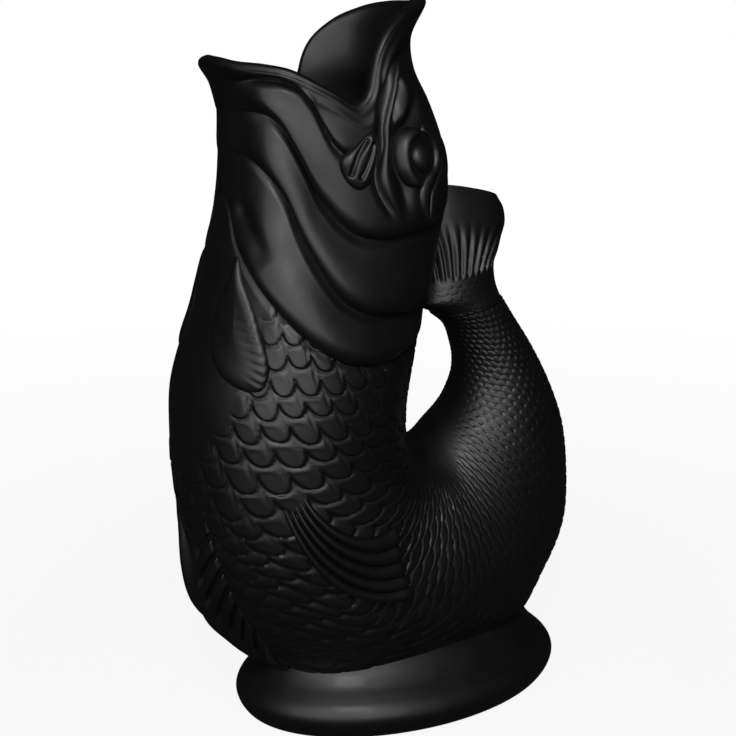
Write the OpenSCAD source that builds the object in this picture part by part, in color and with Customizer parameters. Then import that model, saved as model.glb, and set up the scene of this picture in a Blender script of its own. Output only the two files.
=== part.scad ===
// Gurgle jug: a glazed fish that stands on an oval foot. Its open mouth is the spout, the body bends
// up behind into a hollow tail that is the handle, and the tail fin rests on the back of the neck.
// X runs from the spout (-) to the handle (+), Y across, Z up. The origin is on the table, under the
// middle of the jug's length. Every piece lies on one skin: a place s along the fish and an angle a
// round it, where 0 is the belly, 90 the fish's left (-Y) and 180 its back.

/* [Overall] */
// Height from the table to the top of the upper lip
jug_h = 250; // [235:1:265]
// Height of the bottom of the finger gap
loop_z = 97; // [90:1:104]
// How far the belly reaches in front of the middle of the foot
belly_reach = 86; // [78:1:94]
// How far the handle reaches behind the middle of the foot
tail_reach = 69; // [64:1:78]
// How far the spout reaches in front of the middle of the foot
spout_reach = 71; // [66:1:78]

/* [Body] */
// Width across the belly
belly_w = 82; // [72:1:90]
// Width across the head and neck
head_w = 66; // [58:1:72]
// Thickness of the body wall
wall = 4.5; // [3.5:0.1:5.5]
// Gap between two neighbouring pieces of the body wall
seam_gap = 0.25; // [0.15:0.05:0.4]
// Gap between the body and what sits on it
seat_gap = 0.2; // [0.1:0.05:0.3]
// How far the edge of a gill plate stands above the skin below it
plate_step = 2.2; // [1:0.1:3]

/* [Mouth] */
// How far the lip rolls outward
lip_roll = 1.8; // [1:0.1:3]
// Height of the rolled part of the lip
lip_h = 8; // [5:0.5:12]
// Angle round the head at which the lower jaw meets the upper one
mouth_a = 90; // [84:1:96]

/* [Handle] */
// Clear width of the finger gap
loop_w = 26; // [22:1:29]
// Clear height of the finger gap
loop_h = 48; // [44:1:52]
// Width across the thin part of the handle
handle_w = 30; // [26:1:36]
// Height of the tail fin above the end of the handle
fluke_h = 46; // [40:1:50]
// Half thickness of the tail fin at its upper edge
fluke_edge = 2.6; // [2:0.1:4]

/* [Foot] */
// Length of the foot
foot_l = 129; // [120:1:140]
// Width of the foot
foot_w = 83; // [76:1:92]
// Height at which the foot meets the body
foot_h = 25; // [22:1:27]
// Height of the widest part of the foot
foot_bulge_z = 10; // [8:0.5:12]
// Depth of the hollow under the foot
foot_recess = 3.5; // [2:0.1:4.5]
// Width of the ring that the foot stands on
foot_ring = 4; // [2:0.5:7]
// How far that ring lies inside the widest line of the foot
foot_round = 5; // [3:0.5:7]

/* [Head details] */
// Height of the eyeball above the skin
eye_t = 3.6; // [2.5:0.1:4.5]
// Height of the eyelid above the skin
lid_t = 2.6; // [1.5:0.1:3.5]
// Height of the cheek and brow ridges above the skin
ridge_t = 2.2; // [1.2:0.1:3]
// Height of the lobe at the corner of the mouth
lobe_t = 2.8; // [1.5:0.1:3.5]

/* [Fins] */
// Thickness of the pectoral fin
pectoral_t = 2.4; // [1.5:0.1:3.5]
// Thickness of the side fin between its rays
side_fin_t = 1.6; // [1:0.1:2.5]
// Height of the rays on the side fin
side_ray_t = 1.2; // [0.5:0.1:2]
// Number of rays on the side fin
side_rays = 7; // [5:1:9]
// Thickness of the belly fins at their root
belly_fin_t = 1.8; // [1.4:0.1:3]
// How far the free edges of the belly fins stand out from the belly
belly_fin_h = 7; // [5:0.5:10]
// Number of rays on each belly fin
belly_rays = 9; // [6:1:11]
// Depth of the grooves between the rays of the belly fins
ray_groove = 1; // [0.4:0.1:1.2]
// Height of the small fin behind the tail bend
rear_fin_h = 4; // [2:0.5:6]

/* [Hidden] */
glaze = [0.12, 0.12, 0.14];
glaze_light = [0.2, 0.2, 0.23];

// The outline was drawn at these sizes, and each part of it stretches with the size it belongs to
drawn_h = 250;
drawn_loop_z = 97;
drawn_reach = 86;
drawn_tail = 69;
drawn_belly_w = 82;
drawn_head_w = 66;
drawn_handle_w = 30;
drawn_loop_w = 26;
drawn_loop_h = 48;
function up(z) = loop_z + (z - drawn_loop_z) * (jug_h - loop_z) / (drawn_h - drawn_loop_z);
function down(z) = z * loop_z / drawn_loop_z;
function fore(x) = x * belly_reach / drawn_reach;
function aft(x) = x * tail_reach / drawn_tail;
function gap_x(x) = x * loop_w / drawn_loop_w;
function gap_z(z) = loop_z + (z - drawn_loop_z) * loop_h / drawn_loop_h;
function belly(w) = w * belly_w / drawn_belly_w;
function head(w) = w * head_w / drawn_head_w;
function grip(w) = w * handle_w / drawn_handle_w;

// The shapes are drawn about the middle of the foot, and the origin is under the middle of the jug
middle_x = (belly_reach - tail_reach) / 2;

// Stations of the skin: place s, back x and z, belly x and z, half width
stations = [
  [0, 2.5, up(250), 1.5 - spout_reach, up(250), head(33.5)],
  [10, -1, up(240), 0.5 - spout_reach, up(240), head(33)],
  [20, 0.5, up(230), 2 - spout_reach, up(230), head(31.8)],
  [30, 6, up(220), 5 - spout_reach, up(220), head(31.6)],
  [45, 12, up(205), fore(-65.5), up(205), head(32.5)],
  [60, 14, up(190), fore(-66.5), up(190), head(33.5)],
  [75, 11, up(175), fore(-70), up(175), head(35)],
  [95, 6, up(155), fore(-76), up(155), belly(37.5)],
  [115, 1, up(135), fore(-82.5), up(135), belly(39.5)],
  [135, -3, up(115), fore(-85.5), up(115), belly(41)],
  [146, -2.5, up(104), fore(-86), down(95), belly(41)],
  [156, 0, up(99), fore(-84), down(76), belly(41)],
  [166, 2, up(97.5), fore(-77), down(55), belly(40.5)],
  [176, 3, loop_z, fore(-64), down(34), belly(39.5)],
  [188, 4, loop_z, fore(-44), down(16), belly(38)],
  [200, 5, loop_z, fore(-18), down(9), belly(36.5)],
  [212, 6, gap_z(97.5), aft(13), down(9.5), belly(35)],
  [224, 7, gap_z(98.5), aft(43), down(18), belly(32.5)],
  [236, 9, gap_z(100), aft(59), down(37), belly(29.5)],
  [248, gap_x(11.5), gap_z(103), aft(68), down(57), belly(26.5)],
  [260, gap_x(15.5), gap_z(107.5), tail_reach, down(79), belly(23.5)],
  [270, gap_x(20), gap_z(113.5), aft(66.5), up(98), grip(20.5)],
  [280, gap_x(23.5), gap_z(121), aft(60.5), up(114), grip(17.5)],
  [290, gap_x(23.5), gap_z(130), aft(52.5), up(129), grip(15)],
  [300, gap_x(19.5), gap_z(139), aft(44), up(142), grip(13.2)],
  [308, gap_x(11.5), gap_z(144.5), aft(38.5), up(151), grip(12.2)]];

// Lip and gill edges: angle round the head, place s
lip_edge = [[0, 18.5], [25, 19], [45, 19.6], [60, 21.5], [75, 26.5], [86, 30.8], [95, 27.5],
  [103, 21.5], [108, 16.5], [114, 11.5], [125, 5.5], [140, 2], [160, 0.4], [180, 0]];
jaw_edge = [[0, 32], [19, 33], [32, 33.5], [40, 35], [48, 40], [56, 50], [61, 57], [69, 64],
  [80, 70], [95, 73], [115, 72], [145, 67], [180, 65]];
upper_gill_edge = [[0, 45], [17, 46], [27, 48], [34, 51], [47, 60], [56, 70], [69, 82], [80, 90],
  [96, 96], [116, 98], [145, 96], [180, 94]];
lower_gill_edge = [[0, 57], [12, 63], [22, 73], [40, 86], [60, 98], [76, 106], [90, 111],
  [112, 113], [130, 110], [155, 106], [180, 104]];
// Places of the seams between trunk, belly and tail, and of the handle's upper end
trunk_end = 146;
belly_end = 240;
handle_end = 306;

// Smooth curve through a table whose first column rises
function rise(tab, i) = (tab[i + 1] - tab[i]) / (tab[i + 1][0] - tab[i][0]);
function slope(tab, i) =
  i == 0 ? rise(tab, 0) :
  i == len(tab) - 1 ? rise(tab, i - 1) :
  let(before = tab[i][0] - tab[i - 1][0], after = tab[i + 1][0] - tab[i][0])
  (rise(tab, i - 1) * after + rise(tab, i) * before) / (before + after);
function span(tab, s, i = 0) = i >= len(tab) - 2 || s < tab[i + 1][0] ? i : span(tab, s, i + 1);
function blend(tab, s) =
  let(i = span(tab, s), h = tab[i + 1][0] - tab[i][0], u = (s - tab[i][0]) / h)
  tab[i] * (2 * u ^ 3 - 3 * u ^ 2 + 1) + tab[i + 1] * (3 * u ^ 2 - 2 * u ^ 3)
  + (slope(tab, i) * (u ^ 3 - 2 * u ^ 2 + u) + slope(tab, i + 1) * (u ^ 3 - u ^ 2)) * h;
function mix(p, q, t) = p + (q - p) * t;
function ease(t) = let(c = max(0, min(1, t))) c * c * (3 - 2 * c);

// Angle measured from the belly on either side
function half_turn(a) = let(b = ((a % 360) + 360) % 360) b > 180 ? 360 - b : b;
function edge(tab, a) = blend(tab, half_turn(a))[1];

// Point of the skin at place s and angle a, raised by off
function skin(s, a, off = 0) =
  let(r = blend(stations, s), dx = r[3] - r[1], dz = r[4] - r[2], depth = norm([dx, dz]),
    reach = cos(a) * (depth / 2 + off) / depth)
  [(r[1] + r[3]) / 2 + dx * reach, -(r[5] + off) * sin(a), (r[2] + r[4]) / 2 + dz * reach];

// Solid from rows of points. Each row is a closed loop; the rows close on each other or end in caps
module loft(rows, closed = false) {
  n = len(rows[0]);
  m = len(rows);
  pts = [for (r = rows) for (p = r) p];
  sides = [for (i = [0 : closed ? m - 1 : m - 2]) for (j = [0 : n - 1])
    let(i2 = (i + 1) % m, j2 = (j + 1) % n, a = i * n + j, b = i * n + j2, c = i2 * n + j2,
      d = i2 * n + j)
    each [[a, b, c], [a, c, d]]];
  // A cap joins the first half of its loop to the second half
  k = floor(n / 2);
  cap = [for (j = [0 : k - 2]) let(a = j, b = j + 1, c = n - 2 - j, d = n - 1 - j)
    each (b == c ? [[a, b, d]] : [[a, b, c], [a, c, d]])];
  caps = closed ? [] : concat([for (f = cap) [f[2], f[1], f[0]]],
    [for (f = cap) [for (v = f) v + (m - 1) * n]]);
  translate([middle_x, 0, 0]) polyhedron(points = pts, faces = concat(sides, caps), convexity = 6);
}

// Solid from rings about one axis, with a point at the start and at the end
module spindle(start, rings, end) {
  n = len(rings[0]);
  m = len(rings);
  pts = concat([start], [for (r = rings) for (p = r) p], [end]);
  top = [for (j = [0 : n - 1]) [0, 1 + (j + 1) % n, 1 + j]];
  sides = [for (i = [0 : m - 2]) for (j = [0 : n - 1])
    let(a = 1 + i * n + j, b = 1 + i * n + (j + 1) % n) each [[a, b, b + n], [a, b + n, a + n]]];
  low = [for (j = [0 : n - 1]) [m * n + 1, 1 + (m - 1) * n + j, 1 + (m - 1) * n + (j + 1) % n]];
  translate([middle_x, 0, 0]) polyhedron(points = pts, faces = concat(top, sides, low), convexity = 6);
}

// Ring of the body wall between the edge curves top and low, both places s by angle. A plate swells
// outward toward its lower edge, but not at the back of the neck
wall_cols = 48;
swell_a = 125;
swell_fade = 30;
function swell(t, a) = plate_step * ease(t) * (1 - ease((half_turn(a) - swell_a) / swell_fade));
module wall_ring(top, low, rows, plate = false) {
  inner_rows = ceil(rows / 2);
  loft([for (c = [0 : wall_cols - 1])
    let(a = c * 360 / wall_cols, s0 = top(a), s1 = low(a))
    concat([for (k = [rows : -1 : 0]) skin(mix(s0, s1, k / rows), a, plate ? swell(k / rows, a) : 0)],
      [for (k = [0 : inner_rows]) skin(mix(s0, s1, k / inner_rows), a, -wall)])], closed = true);
}

// Jaw wall from the lip down to the first gill plate, between the angles a0 and a1. Its rows lie
// closer together toward the lip, and lip_turn carries the wall over the rim: depth below the rim,
// share of the wall
jaw_rows = 10;
jaw_cols = wall_cols / 2;
jaw_crowd = 1.7;
lip_crest = 2;
lip_turn = [[0.9, 0], [0.3, 0.14], [0, 0.36], [0, 0.64], [0.3, 0.86], [0.9, 1]];
function roll(s, a) = lip_roll * (1 - ease((s - edge(lip_edge, a)) / lip_h));
function jaw_rise(s, a) =
  let(s0 = edge(lip_edge, a) + lip_crest, s1 = edge(jaw_edge, a))
  swell((s - s0) / (s1 - s0), a) + roll(s, a);
module jaw(a0, a1) {
  loft([for (c = [0 : jaw_cols])
    let(a = mix(a0, a1, c / jaw_cols), s0 = edge(lip_edge, a), s1 = edge(jaw_edge, a),
      rows = [for (k = [0 : jaw_rows - 1]) mix(s0 + lip_crest, s1, (1 - k / jaw_rows) ^ jaw_crowd)])
    concat(
      [for (s = rows) skin(s, a, jaw_rise(s, a))],
      [for (p = lip_turn) skin(s0 + p[0], a, lip_roll - p[1] * wall)],
      [for (k = [jaw_rows - 1 : -1 : 0]) skin(rows[k], a, roll(rows[k], a) - wall)])]);
}

// Closed smooth outline through a few points given as [s, a]
function loop_at(tab, t) =
  let(n = len(tab), i = floor(t * n) % n, u = t * n - floor(t * n), p0 = tab[(i + n - 1) % n],
    p1 = tab[i], p2 = tab[(i + 1) % n], p3 = tab[(i + 2) % n])
  0.5 * (2 * p1 + (p2 - p0) * u + (2 * p0 - 5 * p1 + 4 * p2 - p3) * u ^ 2
    + (3 * p1 - p0 - 3 * p2 + p3) * u ^ 3);
function middle(tab) = [for (k = [0, 1]) [for (p = tab) p[k]] * [for (p = tab) 1] / len(tab)];

// Point raised by off above the seat gap, on the plain skin or on the jaws
function seat(p, off, on_jaw) = skin(p[0], p[1], seat_gap + off + (on_jaw ? jaw_rise(p[0], p[1]) : 0));

// Domed pad on the skin inside an outline. edge_t is its thickness at the rim, full the height
pad_cols = 24;
pad_rings = 5;
under_rings = 3;
module pad(tab, full, edge_t, on_jaw = false) {
  mid = middle(tab);
  function at(r, off) = [for (c = [0 : pad_cols - 1])
    seat(mix(mid, loop_at(tab, c / pad_cols), r), off, on_jaw)];
  function dome(r) = edge_t + (full - edge_t) * sqrt(max(0, 1 - r ^ 2.6));
  spindle(seat(mid, full, on_jaw),
    concat([for (k = [1 : pad_rings]) at(sin(90 * k / pad_rings), dome(sin(90 * k / pad_rings)))],
      [for (k = [under_rings : -1 : 1]) at(k / under_rings, 0)]),
    seat(mid, 0, on_jaw));
}

// Ridge on the skin between two curves given as [u, s, a] from its upper to its lower end
ridge_cross = 6;
ridge_rows = 16;
thin_edge = 0.3;
module ridge(one, other, full) {
  loft([for (k = [0 : ridge_rows])
    let(u = k / ridge_rows, p = blend(one, u), q = blend(other, u),
      taper = sqrt(max(0.05, 1 - (2 * u - 1) ^ 6)))
    concat(
      [for (j = [0 : ridge_cross]) let(v = j / ridge_cross, w = mix(p, q, v))
        seat([w[1], w[2]], thin_edge + (full * taper - thin_edge) * sin(180 * v) ^ 0.7, true)],
      [for (j = [ridge_cross : -1 : 0]) let(w = mix(p, q, j / ridge_cross))
        seat([w[1], w[2]], 0, true)])]);
}

// Mirrors a left piece to the right
module right() {
  mirror([0, 1, 0]) children();
}

// Foot: an oval plinth whose top is a saddle that follows the underside of the body
foot_cols = 48;
// Places s of the bottom of the belly, and of points well in front of it and behind it
low_s = 202;
front_s = 160;
rear_s = 236;
function low_z(s) = skin(s, 0, seat_gap)[2];
// Place s at which the belly line passes height z, between the places p and q
function find(z, p, q, k = 22) = let(m = (p + q) / 2)
  k == 0 ? m : (low_z(m) - z) * (low_z(p) - z) > 0 ? find(z, m, q, k - 1) : find(z, p, m, k - 1);
function body_ring(z) =
  let(s0 = find(z, front_s, low_s), s1 = find(z, rear_s, low_s))
  [for (c = [0 : foot_cols - 1])
    let(t = c * 360 / foot_cols, s = mix(s0, s1, (1 - cos(t)) / 2), r = blend(stations, s),
      depth = norm([r[3] - r[1], r[4] - r[2]]), ez = (r[4] - r[2]) / depth,
      c0 = (z - (r[2] + r[4]) / 2) / (ez * (depth / 2 + seat_gap)),
      a = acos(max(-1, min(1, c0))))
    skin(s, sin(t) >= 0 ? -a : a, seat_gap)];
function oval(rx, ry, z) = [for (c = [0 : foot_cols - 1]) let(t = c * 360 / foot_cols)
  [-rx * cos(t), ry * sin(t), z]];
function foot_oval(inset, z) = oval(foot_l / 2 - inset, foot_w / 2 - inset, z);
foot_inner = foot_round + foot_ring;
// Profile below the bulge: inset from the widest line, height
foot_under = [[foot_inner + 13, foot_recess], [foot_inner + 2.5, foot_recess], [foot_inner + 1.5, 0.8],
  [foot_inner, 0], [foot_round, 0], [foot_round / 2, foot_bulge_z / 8],
  [foot_round / 5, foot_bulge_z * 0.4], [0.1, foot_bulge_z * 0.7], [0, foot_bulge_z]];
// Profile above it: share of the way in to the body, how far it bellies out
foot_rise = [[0.12, 0.9], [0.3, 1.8], [0.5, 1.9], [0.7, 1.2], [0.86, 0.5]];
// Rings of the saddle, as shares of the way down to just above the bottom of the belly
saddle_min = low_z(low_s) + 0.25;
saddle_steps = [0, 0.25, 0.48, 0.68, 0.83, 0.93, 0.98, 1];
module foot() {
  top = body_ring(foot_h);
  bulge = foot_oval(0, foot_bulge_z);
  function between(t, out) = [for (c = [0 : foot_cols - 1])
    let(p = mix(bulge[c], top[c], t), d = [bulge[c][0], bulge[c][1], 0] / norm(bulge[c]))
    [p[0], p[1], mix(foot_bulge_z, foot_h, sin(90 * t))] + d * out];
  color(glaze) spindle([0, 0, foot_recess],
    concat([for (p = foot_under) foot_oval(p[0], p[1])], [for (p = foot_rise) between(p[0], p[1])],
      [for (t = saddle_steps) body_ring(mix(foot_h, saddle_min, t))]),
    skin(low_s, 0, seat_gap));
}

// The U-bend that joins the neck to the tail and holds most of the water
module belly_shell() color(glaze)
  wall_ring(function(a) trunk_end + seam_gap, function(a) belly_end, 15);

// Scaled trunk between the gill plates and the belly
module trunk_shell() color(glaze)
  wall_ring(function(a) edge(lower_gill_edge, a) + seam_gap, function(a) trunk_end, 7);

module lower_gill_plate() color(glaze_light)
  wall_ring(function(a) edge(upper_gill_edge, a) + seam_gap,
    function(a) edge(lower_gill_edge, a), 5, plate = true);

module upper_gill_plate() color(glaze)
  wall_ring(function(a) edge(jaw_edge, a) + seam_gap,
    function(a) edge(upper_gill_edge, a), 5, plate = true);

module lower_jaw() color(glaze_light) jaw(-mouth_a, mouth_a);

// Angle that a seam gap takes up beside the mouth corner
seam_a = seam_gap * 360 / (PI * head_w);
module upper_jaw() color(glaze_light) jaw(mouth_a + seam_a, 360 - mouth_a - seam_a);

// Hollow tail, bent up into the handle
module tail_handle() color(glaze)
  wall_ring(function(a) belly_end + seam_gap, function(a) handle_end, 14);

// Tail fin: a fan in the middle plane that closes the hollow tail and rests on the neck.
// Columns: share of its height on the neck side, x and z of its outer edge, half thickness
fluke_foot = skin(handle_end + seam_gap, 180);
fluke_heel = skin(handle_end + seam_gap, 0);
function heel_z(share) = fluke_heel[2] + share * fluke_h;
fluke_rows = [[0, fluke_heel[0], heel_z(0), grip(12.4)],
  [0.14, aft(38), heel_z(0.13), grip(11.6)],
  [0.3, aft(38), heel_z(0.26), grip(10)],
  [0.5, aft(39.8), heel_z(0.38), grip(8)],
  [0.68, aft(42), heel_z(0.5), grip(6)],
  [0.82, aft(42.6), heel_z(0.59), grip(4.6)],
  [0.92, aft(41), heel_z(0.69), fluke_edge + 1],
  [1, aft(38), heel_z(0.76), fluke_edge]];
// Back of the neck at height z: its place s, and its x with the seat gap
function neck_s(z) = drawn_h - (drawn_loop_z + (z - loop_z) * (drawn_h - drawn_loop_z) / (jug_h - loop_z));
function neck_x(z) = skin(neck_s(z), 180, seat_gap)[0];
fluke_cross = 12;
fluke_steps = 14;
// Share of the height in which the fin leaves the handle's end for the neck, and the crown on top
fluke_lean = 0.12;
fluke_crown = 1.5;
module tail_fluke() color(glaze_light)
  loft([for (k = [0 : fluke_steps])
    let(v = k / fluke_steps, r = blend(fluke_rows, v), z0 = fluke_foot[2] + v * fluke_h,
      x0 = v == 0 ? fluke_foot[0] : mix(fluke_foot[0], neck_x(z0), ease(v / fluke_lean)))
    [for (j = [0 : 2 * fluke_cross - 1])
      let(t = 180 * (j + 0.5) / fluke_cross, share = (1 - cos(t)) / 2, y = sin(t))
      [mix(x0, r[1], share), r[3] * sign(y) * abs(y) ^ 0.8,
        mix(z0, r[2], share) + (v == 1 ? fluke_crown * abs(y) : 0)]]]);

// Eyeball and the lid round it, on the side of the head. Places are [s, a], and a millimetre round
// the head is turn degrees of a
eye_at = [47.2, 116];
eye_half = [7.3, 7.5];
eye_inset = 0.4;
eye_rim = 1;
lid_inset = 0.1;
lid_w = 3.3;
lid_lean = 0.6;
turn = 1.7;
function eye_loop(grow, lean = 0) = [for (t = [0 : 45 : 315])
  eye_at + [(eye_half[0] + grow) * cos(t) + lean, (eye_half[1] + grow * turn) * sin(t)]];
module eye() pad(eye_loop(-eye_inset), eye_t, eye_rim, on_jaw = true);
lid_cols = 28;
lid_cross = 5;
module eyelid() {
  inner = eye_loop(lid_inset);
  outer = eye_loop(lid_inset + lid_w, lid_lean);
  loft([for (c = [0 : lid_cols - 1])
    let(p = loop_at(inner, c / lid_cols), q = loop_at(outer, c / lid_cols))
    concat(
      [for (j = [lid_cross : -1 : 0]) let(v = j / lid_cross)
        seat(mix(p, q, v), thin_edge + (lid_t - thin_edge) * sin(180 * v) ^ 0.6, true)],
      [for (j = [0 : lid_cross]) seat(mix(p, q, j / lid_cross), 0, true)])],
    closed = true);
}
module left_eye() color(glaze) eye();
module right_eye() color(glaze) right() eye();
module left_eyelid() color(glaze_light) eyelid();
module right_eyelid() color(glaze_light) right() eyelid();

// Cheek ridge: runs down from the upper lip in front of the eye
cheek_front = [[0, 14, 127], [0.22, 26, 107], [0.45, 39, 94.5], [0.65, 50, 91.5], [0.83, 60, 91],
  [1, 66.5, 97]];
cheek_rear = [[0, 15, 130], [0.22, 28, 114], [0.45, 38, 103], [0.65, 48, 99.5], [0.83, 59, 99.5],
  [1, 66, 102]];
module left_cheek_ridge() color(glaze) ridge(cheek_front, cheek_rear, ridge_t);
module right_cheek_ridge() color(glaze) right() ridge(cheek_front, cheek_rear, ridge_t);

// Brow ridge: runs behind the eye down to the gill edge
brow_front = [[0, 31, 128], [0.3, 42, 131], [0.5, 50, 131.5], [0.7, 58, 124], [0.85, 63, 119],
  [1, 67, 120]];
brow_rear = [[0, 31.5, 131], [0.3, 41, 137.5], [0.5, 51, 138], [0.7, 60, 130], [0.85, 64, 124.5],
  [1, 67, 123]];
module left_brow_ridge() color(glaze) ridge(brow_front, brow_rear, ridge_t);
module right_brow_ridge() color(glaze) right() ridge(brow_front, brow_rear, ridge_t);

// Lobe below the corner of the mouth
lobe_rim = 0.8;
lobe_loop = [[38.5, 91], [43, 83], [47.5, 75], [52, 73.5], [56, 77], [57, 83], [53.5, 88], [46, 90.5]];
module left_jaw_lobe() color(glaze_light) pad(lobe_loop, lobe_t, lobe_rim, on_jaw = true);
module right_jaw_lobe() color(glaze_light) right() pad(lobe_loop, lobe_t, lobe_rim, on_jaw = true);

// Pectoral fin: a smooth lobe below the gills
pectoral_rim = 0.9;
pectoral_loop = [[78, 18], [88, 12.5], [100, 13.5], [110, 20.5], [117, 31], [119.5, 42], [117.5, 51],
  [109, 52], [97, 46], [86, 33]];
module left_pectoral_fin() color(glaze_light) pad(pectoral_loop, pectoral_t, pectoral_rim);
module right_pectoral_fin() color(glaze_light) right() pad(pectoral_loop, pectoral_t, pectoral_rim);

// Side fin: a fan of curved rays low on the body. The curves run from the root to the free end
side_low = [[0, 149.5, 64], [0.25, 159, 67.5], [0.5, 167, 72], [0.75, 177, 80], [1, 192, 87]];
side_high = [[0, 150, 70], [0.25, 156, 84], [0.5, 161.5, 94], [0.75, 167.5, 102], [1, 175, 109]];
side_rows = 12;
side_cols = side_rays * 4;
// How far the free end bows out, and the shares of the thickness left at the root, free end and rim
side_bow = 3.5;
side_root_share = 0.45;
side_end_share = 0.7;
side_rim_share = 0.35;
module side_fin() {
  function at(u, v) = mix(blend(side_low, u), blend(side_high, u), v)
    + [0, side_bow * sin(180 * v) * u ^ 3, 0];
  function full(u, v) = min(1, side_rim_share + 6 * min(v, 1 - v)) * mix(side_root_share, 1, ease(u * 3))
    * (u == 1 ? side_end_share : 1) * (side_fin_t + side_ray_t * (1 - abs(cos(180 * v * side_rays)) ^ 1.5));
  loft([for (k = [0 : side_rows]) let(u = k / side_rows)
    concat(
      [for (j = [0 : side_cols]) let(v = j / side_cols, w = at(u, v)) seat([w[1], w[2]], full(u, v), false)],
      [for (j = [side_cols : -1 : 0]) let(w = at(u, j / side_cols)) seat([w[1], w[2]], 0, false)])]);
}
module left_side_fin() color(glaze_light) side_fin();
module right_side_fin() color(glaze_light) right() side_fin();

// Belly fins: a pair low on the front of the belly. Each rises from its root on the side of the belly
// to a free edge beside the middle plane, and both run down to the foot.
// Columns: share of the fin's length, share of the root line, its angle a, share of the free edge,
// its angle a, share of the height
belly_fin_line = [[0, 0, 24.5, 0, 1.2, 0.35], [0.2, 0.22, 25.5, 0.38, 0.5, 1],
  [0.4, 0.4, 26.5, 0.62, 0.5, 0.9], [0.6, 0.6, 27, 0.81, 0.5, 0.7], [0.8, 0.82, 24, 0.93, 0.5, 0.5],
  [1, 1, 17, 1, 0.5, 0.35]];
belly_root_s = 150;
belly_tip_s = 159;
// The free edge ends this far above the foot, and the root this far short of it along the body
belly_fin_clear = 2.2;
belly_root_short = 4;
belly_fin_end = find(foot_h + belly_fin_clear, front_s, low_s);
belly_root_end = belly_fin_end - belly_root_short;
belly_fin_cols = belly_rays * 4;
belly_fin_cross = 7;
module belly_fin() {
  loft([for (k = [0 : belly_fin_cols])
    let(u = k / belly_fin_cols, r = blend(belly_fin_line, u),
      root = [mix(belly_root_s, belly_root_end, r[1]), r[2]],
      tip = [mix(belly_tip_s, belly_fin_end, r[3]), r[4]],
      dip = ray_groove * cos(180 * u * belly_rays) ^ 2)
    concat(
      [for (j = [belly_fin_cross : -1 : 0]) let(v = j / belly_fin_cross)
        seat(mix(root, tip, v), mix(belly_fin_t, belly_fin_h * r[5], v) - dip * sin(180 * v) ^ 0.5, false)],
      [for (j = [0 : belly_fin_cross]) seat(mix(root, tip, j / belly_fin_cross), 0, false)])]);
}
module left_belly_fin() color(glaze_light) belly_fin();
module right_belly_fin() color(glaze_light) right() belly_fin();

// Small fin in the middle plane behind the tail bend, just above the foot. It spans rear_a degrees
// on either side of the middle
rear_fin_from = 239;
rear_fin_clear = 1.5;
rear_fin_to = find(foot_h + rear_fin_clear, rear_fin_from, low_s);
rear_end_share = 0.15;
rear_a = 5;
rear_cross = 6;
rear_steps = 10;
module rear_fin() color(glaze)
  loft([for (k = [0 : rear_steps])
    let(u = k / rear_steps, s = mix(rear_fin_from, rear_fin_to, u),
      h = rear_fin_h * mix(rear_end_share, 1, sin(180 * u)))
    concat([for (j = [rear_cross : -1 : 0])
        seat([s, rear_a * (2 * j / rear_cross - 1)], thin_edge + h * sin(180 * j / rear_cross), false)],
      [for (j = [0 : rear_cross]) seat([s, rear_a * (2 * j / rear_cross - 1)], 0, false)])]);

foot();
belly_shell();
trunk_shell();
lower_gill_plate();
upper_gill_plate();
lower_jaw();
upper_jaw();
tail_handle();
tail_fluke();
left_eye();
right_eye();
left_eyelid();
right_eyelid();
left_cheek_ridge();
right_cheek_ridge();
left_brow_ridge();
right_brow_ridge();
left_jaw_lobe();
right_jaw_lobe();
left_pectoral_fin();
right_pectoral_fin();
left_side_fin();
right_side_fin();
left_belly_fin();
right_belly_fin();
rear_fin();
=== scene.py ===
# Gurgle jug in black glaze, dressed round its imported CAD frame. Metres, in the frame's own axes.
import math

import bpy
import numpy as np
from mathutils import Matrix, Vector


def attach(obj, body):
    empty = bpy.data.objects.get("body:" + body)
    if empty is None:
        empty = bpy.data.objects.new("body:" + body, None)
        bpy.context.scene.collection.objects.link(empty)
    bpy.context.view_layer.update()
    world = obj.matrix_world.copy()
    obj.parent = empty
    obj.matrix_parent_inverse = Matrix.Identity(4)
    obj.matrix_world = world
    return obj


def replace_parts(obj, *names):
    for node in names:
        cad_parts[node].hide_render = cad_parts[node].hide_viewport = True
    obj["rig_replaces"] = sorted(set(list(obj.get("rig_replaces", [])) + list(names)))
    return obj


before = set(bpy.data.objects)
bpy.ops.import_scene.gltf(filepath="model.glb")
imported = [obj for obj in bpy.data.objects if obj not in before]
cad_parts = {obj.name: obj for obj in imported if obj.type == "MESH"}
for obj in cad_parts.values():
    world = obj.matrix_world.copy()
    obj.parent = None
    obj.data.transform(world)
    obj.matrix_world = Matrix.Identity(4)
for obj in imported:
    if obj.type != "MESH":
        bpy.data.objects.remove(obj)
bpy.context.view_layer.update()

mm = 0.001
print("frame loaded:", len(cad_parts), "nodes")


# Tables and curves

def curveAt(table, x):  # smooth curve through rows whose first column rises
    tab = np.array(table, float)
    knots, values = tab[:, 0], tab[:, 1:]
    x = np.asarray(x, float)
    i = np.clip(np.searchsorted(knots, x, side="right") - 1, 0, len(knots) - 2)
    gap = np.diff(knots)
    rise = np.diff(values, axis=0) / gap[:, None]
    slope = np.vstack([rise[:1], (rise[:-1] * gap[1:, None] + rise[1:] * gap[:-1, None])
                       / (gap[1:] + gap[:-1])[:, None], rise[-1:]])
    h = gap[i][..., None]
    u = (x - knots[i])[..., None] / h
    return (values[i] * (2 * u**3 - 3 * u**2 + 1) + values[i + 1] * (3 * u**2 - 2 * u**3)
            + (slope[i] * (u**3 - 2 * u**2 + u) + slope[i + 1] * (u**3 - u**2)) * h)


def ease(t):
    c = np.clip(t, 0, 1)
    return c * c * (3 - 2 * c)


def halfTurn(a):
    b = np.mod(np.asarray(a, float), 360)
    return np.where(b > 180, 360 - b, b)


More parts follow.
